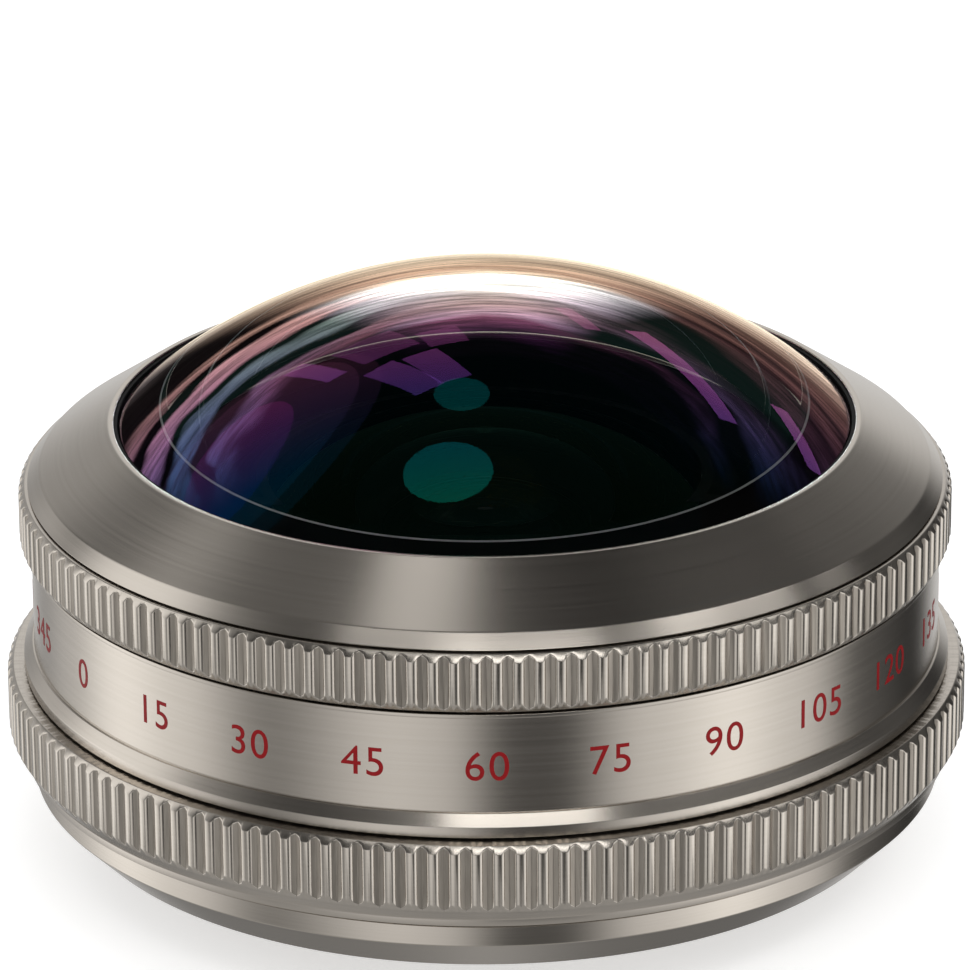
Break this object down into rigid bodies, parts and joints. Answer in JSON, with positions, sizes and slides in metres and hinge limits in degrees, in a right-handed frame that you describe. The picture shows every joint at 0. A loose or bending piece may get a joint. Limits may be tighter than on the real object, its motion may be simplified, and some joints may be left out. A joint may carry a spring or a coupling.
{
  "type": "phone fisheye lens",
  "caption": "Screw-on fisheye lens for a phone camera: bulging front glass, knurled focus ring that slides an inner glass cell, and a knurled mount ring that turns its threaded spigot.",
  "frame": {"origin": "on the optical axis, at the rear face of the flange that seats on the phone case", "axes": "+Z along the optical axis towards the front glass; X and Y across it, with the stop screws and slots set by angle from +X"},
  "size_m": [0.059, 0.059, 0.036],
  "materials": {
    "champagne_aluminium": "fine turned and anodised in a warm silver, satin",
    "black_anodised_aluminium": "matt black anodised",
    "optical_glass": "polished, coated with a purple and green sheen",
    "black_rubber": "matt",
    "steel": "blackened steel screws",
    "brass": "turned",
    "glide_plastic": "plain slippery plastic"
  },
  "bodies": {
    "mount_base": {"mount_ring": "champagne_aluminium", "rear_flange": "champagne_aluminium", "mount_spigot": "champagne_aluminium", "spigot_screws": "steel", "front_glide_ring": "glide_plastic", "rear_glide_ring": "glide_plastic"},
    "barrel": {"main_barrel": "black_anodised_aluminium", "scale_sleeve": "champagne_aluminium", "front_bezel": "champagne_aluminium", "front_element": "optical_glass", "front_seal": "black_rubber", "front_baffle": "black_anodised_aluminium", "second_element": "optical_glass", "second_retaining_ring": "black_anodised_aluminium", "focus_stop_screw": "steel"},
    "focus_grip": {"focus_ring": "champagne_aluminium", "cam_sleeve": "black_anodised_aluminium", "cam_screws": "steel", "focus_glide_ring": "glide_plastic"},
    "focusing_cell": {"focus_cell": "black_anodised_aluminium", "cam_followers": "brass", "third_element": "optical_glass", "cell_spacer": "black_anodised_aluminium", "aperture_stop": "black_anodised_aluminium", "stop_spacer": "black_anodised_aluminium", "fourth_element": "optical_glass", "fifth_element": "optical_glass", "cell_retaining_ring": "black_anodised_aluminium"}
  },
  "joints": [
    {"name": "mount_turn", "type": "hinge", "parent": "mount_base", "child": "barrel", "pos_m": [0, 0, 0.006], "axis": [0, 0, 1], "continuous": true},
    {"name": "focus_turn", "type": "hinge", "parent": "barrel", "child": "focus_grip", "pos_m": [0, 0, 0.019], "axis": [0, 0, 1], "range_deg": [0, 90]},
    {"name": "focus_slide", "type": "slide", "parent": "barrel", "child": "focusing_cell", "axis": [0, 0, 1], "range_m": [0, 0.0015]}
  ],
  "couplings": [
    {"joint": "focus_slide", "follows": "focus_turn", "m_per_rad": 0.00095493}
  ]
}
